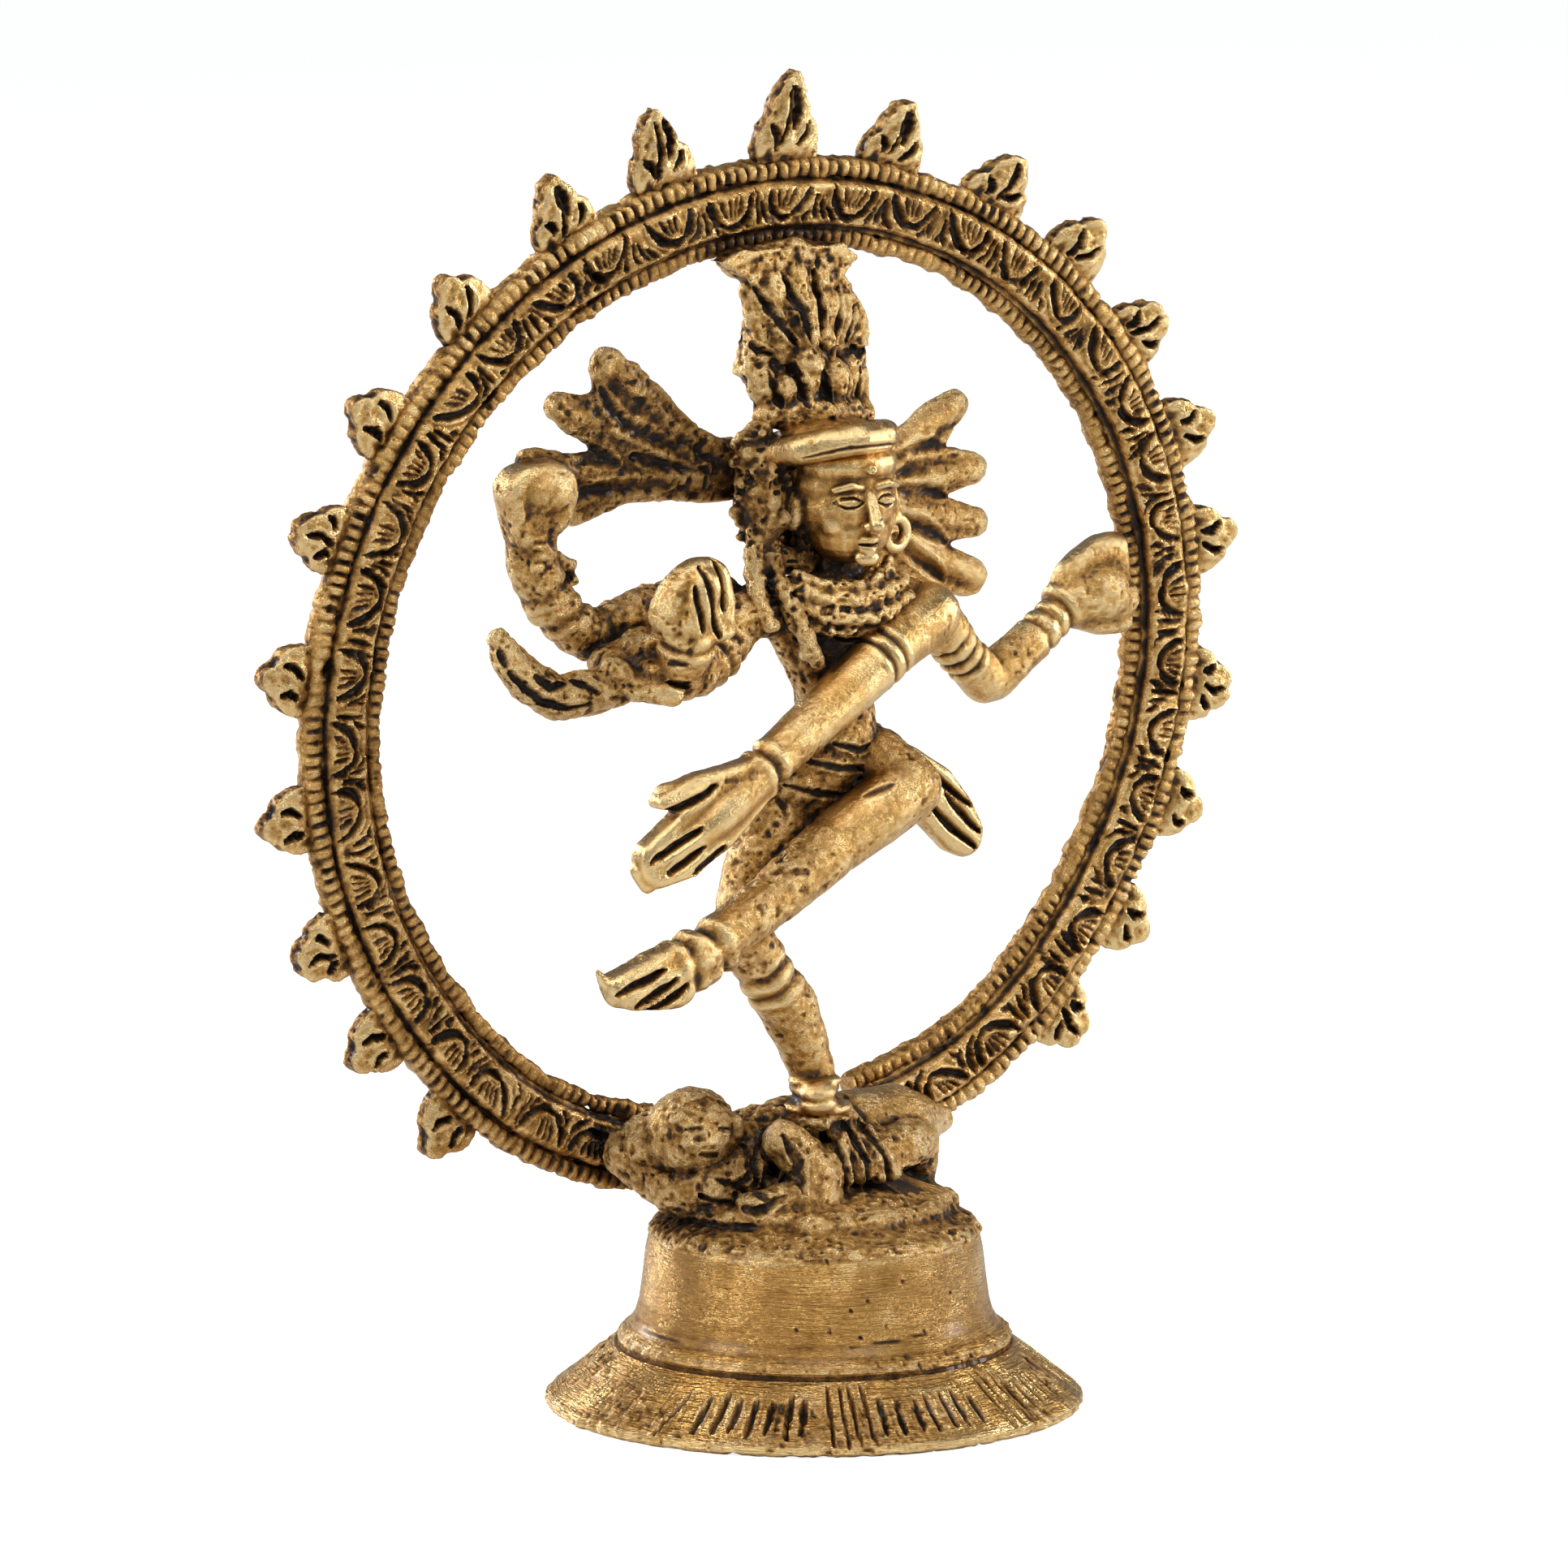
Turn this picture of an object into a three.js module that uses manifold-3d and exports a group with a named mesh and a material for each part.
// A cast brass dancer inside a ring of flames, standing on a lying dwarf and a round base.
//
// The statue is a small lost-wax casting. Each mesh is one piece of the wax that the caster
// models on its own and then joins: the turned base, the ring with its two beaded rims, the
// flames, and the limbs, hair, ornaments and clothing of the two figures.
//
// Units are millimetres. +Z is up, the dancer faces -Y, +X is on the viewer's right.
// The origin is the middle of the base's flat underside.

import * as THREE from 'three';
import { mergeVertices } from 'three/addons/utils/BufferGeometryUtils.js';
import Module from 'manifold-3d';

const wasm = await Module();
wasm.setup();

// ---------------------------------------------------------------- driving dimensions

const GAP = 0.3; // clearance between neighbouring pieces

const BASE = {
  footRadius: 24.9, // round skirt where it meets the table
  footEdge: 0.9, // height of the upright edge at the foot
  skirtTop: 6.2, // height where the sloping skirt ends in a groove
  collarRadius: 18.0,
  waistRadius: 16.1, // the drum above the collar
  shoulderRadius: 14.6,
  height: 17.6,
};

const RING = {
  centre: new THREE.Vector3(0, 8.3, 66.4),
  lean: THREE.MathUtils.degToRad(5.1), // the top leans towards the viewer
  innerRadius: 40.7,
  innerRimOuter: 42.3,
  outerRimInner: 47.1,
  outerRadius: 48.9,
  thickness: 2.4, // of the band and its outer rim, front to back
  innerRimThickness: 1.9,
  rimProud: 0.4, // how far the rims stand in front of the band
  leftEnd: THREE.MathUtils.degToRad(-163), // angles from the top, positive to +X
  rightEnd: THREE.MathUtils.degToRad(163),
  segments: 48,
};

const FLAME = {
  // the flames are set by eye: degrees from the top, positive to +X
  angles: [-141, -128, -115.5, -100.5, -85.5, -70, -57, -42.5, -28, -15, 0,
    13.5, 28, 41, 53.5, 66.5, 79.5, 95.5, 109, 122.5, 135],
  top: 10, // which of them is the tall one at the top
  thickness: 1.7, // their backs are flush with the back of the ring
  sideHeight: 4.9,
  shoulderHeight: 6.6, // the flames next to the top one
  topHeight: 8.3,
  sideWidth: 6.8,
  topWidth: 8.8,
};

const LIMB_SIDES = 8;
const CAP_STEPS = 2;

// ---------------------------------------------------------------- solids from geometries

// A manifold-3d solid from a closed three.js geometry.
function toSolid(geometry) {
  geometry.deleteAttribute('normal');
  geometry.deleteAttribute('uv');
  const merged = mergeVertices(geometry, 1e-4);
  const mesh = new wasm.Mesh({
    numProp: 3,
    vertProperties: Float32Array.from(merged.attributes.position.array),
    triVerts: Uint32Array.from(merged.index.array),
  });
  return new wasm.Manifold(mesh);
}

// The three.js geometry of a manifold-3d solid.
function toGeometry(solid) {
  const { vertProperties, triVerts } = solid.getMesh();
  const geometry = new THREE.BufferGeometry();
  geometry.setAttribute('position', new THREE.BufferAttribute(vertProperties, 3));
  geometry.setIndex(new THREE.BufferAttribute(triVerts, 1));
  geometry.computeVertexNormals();
  return geometry;
}

function join(solids) {
  return solids.reduce((sum, solid) => sum.add(solid));
}

// A turned solid around +Z. The profile holds [radius, height] pairs, lowest first.
function turned(profile, sides) {
  const points = profile.map(([radius, height]) => new THREE.Vector2(radius, height));
  return new THREE.LatheGeometry(points, sides).rotateX(Math.PI / 2);
}

// One tapered, round-ended bone from [x, y, z, radius] to [x, y, z, radius].
function bone([ax, ay, az, ra], [bx, by, bz, rb], grow) {
  const from = new THREE.Vector3(ax, ay, az);
  const to = new THREE.Vector3(bx, by, bz);
  const length = from.distanceTo(to);
  const startRadius = ra + grow;
  const endRadius = rb + grow;
  const slope = Math.asin((startRadius - endRadius) / length);
  const profile = [];
  for (let step = 0; step <= CAP_STEPS; step++) {
    const angle = THREE.MathUtils.lerp(-Math.PI / 2, slope, step / CAP_STEPS);
    const radius = step === 0 ? 0 : startRadius * Math.cos(angle);
    profile.push(new THREE.Vector2(radius, startRadius * Math.sin(angle)));
  }
  for (let step = 0; step <= CAP_STEPS; step++) {
    const angle = THREE.MathUtils.lerp(slope, Math.PI / 2, step / CAP_STEPS);
    const radius = step === CAP_STEPS ? 0 : endRadius * Math.cos(angle);
    profile.push(new THREE.Vector2(radius, length + endRadius * Math.sin(angle)));
  }
  const geometry = new THREE.LatheGeometry(profile, LIMB_SIDES);
  const direction = to.clone().sub(from).normalize();
  const turn = new THREE.Quaternion().setFromUnitVectors(new THREE.Vector3(0, 1, 0), direction);
  geometry.applyQuaternion(turn);
  geometry.translate(ax, ay, az);
  return toSolid(geometry);
}

// A chain of bones through [x, y, z, radius] joints.
function limb(...joints) {
  return (grow) => {
    const bones = joints.slice(1).map((joint, i) => bone(joints[i], joint, grow));
    return join(bones);
  };
}

// An ellipsoid with its centre and its three radii.
function lump([x, y, z], [rx, ry, rz]) {
  return (grow) => {
    const geometry = new THREE.SphereGeometry(1, 10, 7);
    geometry.rotateX(Math.PI / 2);
    geometry.scale(rx + grow, ry + grow, rz + grow);
    geometry.translate(x, y, z);
    return toSolid(geometry);
  };
}

// A flat plate that faces -Y: an outline of [x, z] points, its middle y and its thickness.
function plate(outline, y, thickness) {
  return (grow) => {
    const shape = new THREE.Shape(outline.map(([x, z]) => new THREE.Vector2(x, z)));
    const geometry = new THREE.ExtrudeGeometry(shape, {
      depth: thickness,
      bevelEnabled: grow > 0,
      bevelThickness: grow,
      bevelSize: grow,
      bevelSegments: 1,
    });
    geometry.rotateX(Math.PI / 2);
    geometry.translate(0, y + thickness / 2, 0);
    return toSolid(geometry);
  };
}

// Several shapes that make up one piece.
function group(...shapes) {
  return (grow) => join(shapes.map((shape) => shape(grow)));
}

// A fan of hair or cloth: flat lobes from a root, over a plate that joins them.
function fan({ root, lobes, web, thickness }) {
  const half = thickness / 2;
  const strands = lobes.map(([x, y, z, width]) => limb([...root, half], [x, y, z, width]));
  return group(plate(web, root[1], thickness), ...strands);
}

// ---------------------------------------------------------------- the base

function baseSolid(grow) {
  const { footRadius, footEdge, skirtTop, collarRadius } = BASE;
  const { waistRadius, shoulderRadius, height } = BASE;
  const profile = [
    [0, 0],
    [footRadius - 0.4, 0],
    [footRadius, 0.4],
    [footRadius - 0.1, footEdge],
    [collarRadius, skirtTop],
    [collarRadius - 0.8, skirtTop + 1.4],
    [waistRadius + 0.3, skirtTop + 3],
    [waistRadius - 0.2, height * 0.68],
    [shoulderRadius + 0.7, height - 1.2],
    [shoulderRadius, height - 0.3],
    [shoulderRadius - 1.2, height],
    [0, height],
  ];
  const grown = profile.map(([radius, z]) => [radius > 0 ? radius + grow : 0, z > 0 ? z + grow : 0]);
  return toSolid(turned(grown, 40));
}

// ---------------------------------------------------------------- the ring

const ring = new THREE.Group();
ring.position.copy(RING.centre);
ring.rotation.x = RING.lean;
ring.updateMatrixWorld();

// The wedge, open at the bottom of the ring, that the ring leaves out.
function bottomWedge() {
  const reach = RING.outerRadius * 1.5;
  const left = RING.leftEnd;
  const right = RING.rightEnd;
  const shape = new THREE.Shape([
    new THREE.Vector2(0, 0),
    new THREE.Vector2(reach * Math.sin(left), reach * Math.cos(left)),
    new THREE.Vector2(reach * Math.sin(right), reach * Math.cos(right)),
  ]);
  const depth = RING.thickness * 4;
  const geometry = new THREE.ExtrudeGeometry(shape, { depth, bevelEnabled: false });
  geometry.rotateX(Math.PI / 2);
  geometry.translate(0, depth / 2, 0);
  return toSolid(geometry);
}

// A hoop in the ring's own frame, from a closed section of [radius, y] points.
function hoop(section) {
  const points = [...section, section[0]].map(([radius, y]) => new THREE.Vector2(radius, y));
  return toSolid(new THREE.LatheGeometry(points, RING.segments)).subtract(bottomWedge());
}

function bandSolid(grow) {
  const inner = RING.innerRimOuter + GAP - grow;
  const outer = RING.outerRimInner - GAP + grow;
  const back = RING.thickness + grow;
  return hoop([
    [inner, -grow],
    [outer, -grow],
    [outer, back],
    [inner, back],
  ]);
}

// A beaded rim, as its plain half-round envelope.
function rimSolid(inner, outer, thickness, grow) {
  const front = -RING.rimProud - grow;
  const back = thickness + grow;
  const corner = (outer - inner) * 0.25;
  return hoop([
    [inner - grow, front + corner],
    [inner + corner, front],
    [outer - corner, front],
    [outer + grow, front + corner],
    [outer + grow, back],
    [inner - grow, back],
  ]);
}

function outerRimSolid(grow) {
  return rimSolid(RING.outerRimInner, RING.outerRadius, RING.thickness, grow);
}

function innerRimSolid(grow) {
  return rimSolid(RING.innerRadius, RING.innerRimOuter, RING.innerRimThickness, grow);
}

// A flame: a lobed leaf with its stem on the ring's outer rim, pointing along +Z.
function flameSolid(width, height) {
  const half = width / 2;
  const foot = RING.outerRadius + GAP;
  const shape = new THREE.Shape();
  shape.moveTo(-half * 0.75, foot);
  shape.lineTo(half * 0.75, foot);
  shape.lineTo(half, foot + height * 0.4);
  shape.lineTo(half * 0.75, foot + height * 0.8);
  shape.lineTo(half * 0.2, foot + height);
  shape.lineTo(-half * 0.25, foot + height * 0.97);
  shape.lineTo(-half * 0.78, foot + height * 0.76);
  shape.lineTo(-half, foot + height * 0.38);
  const bevel = 0.35;
  const geometry = new THREE.ExtrudeGeometry(shape, {
    depth: FLAME.thickness - bevel * 2,
    bevelThickness: bevel,
    bevelSize: bevel,
    bevelOffset: -bevel,
    bevelSegments: 1,
  });
  geometry.rotateX(Math.PI / 2);
  geometry.translate(0, RING.thickness - bevel, 0);
  return toSolid(geometry);
}

// ---------------------------------------------------------------- the figures

// The pieces in the order of the casting's skeleton. Where two meet, the later one is
// cut back from the earlier one, which keeps its whole shape.
const FIGURE = [
  // the dwarf and the rough bed that he lies on
  ['dwarf_bed', 'rough', group(
    lump([0.5, 1.5, 18.6], [13.6, 8.4, 2.6]),
    limb([-9, 6, 20.2, 2.4], [-12.6, 11.4, 21.2, 1.9]),
    limb([9, 6, 20.2, 2.4], [12.6, 11.4, 21.2, 1.9]),
  )],
  ['dwarf_head', 'rough', lump([-10.6, 4.4, 25.4], [4.4, 4.4, 4.8])],
  ['dwarf_torso', 'rough', limb([-4.2, 3.4, 23.6, 4.4], [2.6, 2.6, 23.8, 4.6])],
  ['dwarf_hips', 'rough', limb(
    [6.4, 3.2, 23.6, 4.4],
    [13.0, 5.0, 23.2, 3.8],
    [19.6, 8.4, 23.2, 1.4],
  )],
  ['dwarf_arm', 'rough', limb(
    [-4.6, -2.2, 25.2, 2.2],
    [-2.6, -4.2, 21.4, 2.4],
    [-9.4, -2.6, 20.2, 1.9],
  )],
  ['dwarf_leg', 'rough', limb([5.4, -2.2, 22.4, 2.6], [10.8, -0.6, 22.6, 2.5], [11.4, 0.6, 20.2, 2.0])],

  // the dancer's trunk
  ['torso', 'cast', group(
    limb([2.4, 1.2, 73.0, 4.3], [2.9, 1.0, 67.0, 3.9], [2.6, 0.6, 62.4, 4.0]),
    limb([-5.4, 1.0, 74.6, 2.7], [10.4, 0.8, 73.6, 2.9]),
    limb([2.8, 1.2, 75.0, 2.8], [3.2, 1.0, 79.4, 2.4]),
  )],
  ['loincloth', 'cast', limb([-2.0, 1.4, 56.8, 3.7], [4.6, 0.8, 59.6, 4.0])],
  ['necklace', 'cast', limb([-1.4, -2.4, 76.0, 1.0], [3.0, -3.4, 74.0, 1.1], [7.6, -2.0, 75.6, 1.0])],
  ['head', 'cast', lump([3.2, 0.6, 84.4], [5.0, 5.2, 6.2])],
  ['headband', 'cast', limb([-3.2, -1.6, 89.6, 1.4], [2.6, -3.8, 89.4, 1.4], [6.6, -1.6, 89.0, 1.4])],
  ['crown', 'cast', group(
    limb([1.0, 2.8, 93.0, 3.6], [0.6, 3.2, 101.0, 3.6], [0.2, 3.6, 105.6, 3.0]),
    plate([[-2.4, 91.6], [6.0, 91.4], [7.0, 97.0], [6.8, 100.0], [4.8, 104.0], [6.6, 107.2],
      [-7.2, 107.2], [-4.4, 103.6], [-5.4, 98.0], [-4.8, 95.0]], 3.2, 4.0),
  )],
  ['hair_curls', 'rough', limb([-5.0, 2.2, 89.4, 2.4], [-4.8, 2.2, 84.6, 2.9], [-4.4, 1.6, 80.4, 2.0])],
  ['hair_strands', 'rough', limb([-4.6, 0.6, 77.6, 1.3], [-3.4, -2.2, 73.8, 1.3], [-1.6, -2.8, 69.8, 1.0])],
  ['hair_fan_right', 'rough', fan({
    root: [-6.0, 6.2, 87.2],
    lobes: [[-18.4, 6.2, 97.2, 1.9], [-22.8, 6.2, 93.4, 1.9], [-26.2, 6.2, 88.6, 2.2], [-21.6, 6.2, 84.6, 1.8]],
    web: [[-5.0, 83.8], [-20.0, 83.6], [-22.6, 87.0], [-19.8, 89.4], [-18.8, 94.0], [-5.0, 89.6]],
    thickness: 2.0,
  })],
  ['hair_fan_left', 'rough', fan({
    root: [9.6, 5.6, 83.6],
    lobes: [[19.0, 5.6, 91.0, 1.7], [21.0, 5.6, 85.0, 1.5], [21.4, 5.6, 80.0, 1.4], [20.8, 5.6, 74.9, 1.7]],
    web: [[8.6, 78.0], [17.4, 73.4], [18.2, 78.6], [18.2, 83.2], [17.2, 87.6], [8.6, 87.0]],
    thickness: 2.0,
  })],

  // the dancer's four arms, upper arm and forearm with its hand
  ['front_left_upper_arm', 'cast', limb([12.0, -0.8, 73.0, 3.0], [5.8, -3.2, 70.2, 2.8])],
  ['front_left_forearm', 'cast', group(
    limb([4.8, -3.7, 69.6, 2.7], [-9.5, -7.2, 61.7, 2.1]),
    limb([-10.6, -7.5, 61.1, 2.2], [-17.0, -8.3, 57.2, 2.9], [-23.4, -9.0, 53.6, 2.1]),
    limb([-12.4, -7.8, 61.0, 1.4], [-21.8, -8.6, 60.0, 1.2]),
  )],
  ['rear_left_upper_arm', 'cast', limb([14.6, 2.2, 71.6, 2.6], [21.6, 4.4, 65.0, 2.4])],
  ['rear_left_forearm', 'cast', group(
    limb([22.8, 4.8, 65.2, 2.4], [31.0, 6.0, 70.4, 2.0]),
    limb([31.6, 6.2, 70.8, 2.3], [35.2, 6.4, 72.4, 4.0]),
    limb([32.4, 6.4, 74.0, 1.4], [37.6, 6.6, 76.4, 1.4]),
  )],
  ['front_right_upper_arm', 'cast', limb([-8.0, 0.2, 73.8, 2.5], [-14.4, -2.4, 70.4, 2.4])],
  ['front_right_forearm', 'cast', group(
    limb([-16.8, -3.4, 69.8, 2.2], [-17.2, -5.4, 73.0, 2.6]),
    limb([-17.4, -5.8, 74.4, 2.9], [-16.8, -6.8, 79.0, 2.4]),
  )],
  ['rear_right_upper_arm', 'cast', limb([-8.2, 3.4, 75.6, 2.1], [-15.3, 4.4, 74.9, 2.2], [-21.0, 5.0, 72.6, 2.4])],
  ['rear_right_forearm', 'cast', limb([-22.4, 5.0, 73.6, 2.4], [-26.4, 5.0, 78.3, 2.5], [-27.4, 5.0, 83.0, 2.5])],
  ['drum', 'cast', group(
    lump([-27.4, 4.8, 86.6], [3.8, 3.2, 3.3]),
    limb([-25.6, 4.4, 85.0, 1.9], [-25.2, 4.4, 88.0, 1.9]),
  )],
  ['snake', 'rough', limb(
    [-20.4, -0.4, 70.0, 2.0],
    [-24.2, -0.8, 68.6, 2.1],
    [-28.6, -1.0, 68.6, 2.1],
    [-32.2, -1.0, 70.8, 1.9],
    [-34.2, -1.0, 73.8, 1.2],
  )],

  // the dancer's legs and the cloth on the hip
  ['standing_thigh', 'cast', limb([-3.2, 1.0, 54.6, 3.7], [-8.2, -0.8, 46.6, 2.9])],
  ['standing_shin', 'cast', limb([-7.0, -0.6, 43.4, 2.6], [-2.8, 0.2, 37.6, 2.9], [0.2, 0.8, 31.8, 2.2])],
  ['standing_foot', 'cast', limb([0.6, 1.0, 29.6, 2.3], [-0.6, -1.6, 28.8, 1.8])],
  ['raised_thigh', 'cast', limb([6.0, -0.8, 59.6, 3.6], [7.6, -3.8, 57.4, 3.4], [-0.6, -5.0, 53.4, 3.0])],
  ['raised_shin', 'cast', limb([-2.2, -5.4, 52.6, 2.9], [-15.0, -7.0, 45.9, 2.3])],
  ['raised_foot', 'cast', group(
    limb([-16.2, -7.2, 45.2, 2.5], [-22.2, -8.0, 43.4, 2.8], [-27.2, -8.6, 42.4, 1.8]),
    limb([-13.6, -6.8, 44.2, 1.2], [-18.6, -7.6, 42.6, 1.6]),
  )],
  ['hip_sash', 'cast', fan({
    root: [9.6, 3.8, 60.0],
    lobes: [[19.8, 4.8, 52.0, 1.5], [18.4, 4.8, 50.0, 1.5]],
    web: [[9.4, 58.0], [14.4, 51.4], [19.4, 54.0], [15.0, 58.6], [10.4, 61.4]],
    thickness: 2.0,
  })],
];

// ---------------------------------------------------------------- putting it together

const MATERIALS = {
  cast: { color: 0xb98f48, roughness: 0.38, metalness: 1 },
  rough: { color: 0x8a6a36, roughness: 0.55, metalness: 1 },
  brushed: { color: 0xc9a35c, roughness: 0.32, metalness: 1 },
};

function namedMesh(name, finish, solid) {
  const mesh = new THREE.Mesh(toGeometry(solid), new THREE.MeshStandardMaterial(MATERIALS[finish]));
  mesh.name = name;
  return mesh;
}

// The biggest body left of a solid after its neighbours are cut away.
function biggestBody(solid) {
  return solid.decompose().reduce((big, body) => (body.volume() > big.volume() ? body : big));
}

const statue = new THREE.Group();
statue.add(namedMesh('base_plinth', 'brushed', baseSolid(0)));

const ringPieces = [
  ['ring_band', bandSolid],
  ['ring_outer_beads', outerRimSolid],
  ['ring_inner_beads', innerRimSolid],
];
for (const [name, build] of ringPieces) {
  ring.add(namedMesh(name, 'cast', build(0)));
}

for (let i = 0; i < FLAME.angles.length; i++) {
  const stepsFromTop = Math.abs(i - FLAME.top);
  let width = FLAME.sideWidth;
  let height = FLAME.sideHeight;
  if (stepsFromTop === 0) {
    width = FLAME.topWidth;
    height = FLAME.topHeight;
  } else if (stepsFromTop <= 2) {
    height = FLAME.shoulderHeight;
  }
  const name = `flame_${String(i + 1).padStart(2, '0')}`;
  const flame = namedMesh(name, 'cast', flameSolid(width, height));
  flame.rotation.y = THREE.MathUtils.degToRad(FLAME.angles[i]);
  ring.add(flame);
}
statue.add(ring);

// Everything that a later piece has to stay clear of, each a little larger than life.
const toWorld = ring.matrixWorld.elements;
const neighbours = [baseSolid(GAP)];
for (const [, build] of ringPieces) {
  neighbours.push(build(GAP).transform(toWorld));
}
for (const [name, finish, build] of FIGURE) {
  const cut = neighbours.reduce((left, neighbour) => left.subtract(neighbour), build(0));
  statue.add(namedMesh(name, finish, biggestBody(cut)));
  neighbours.push(build(GAP));
}

export default statue;
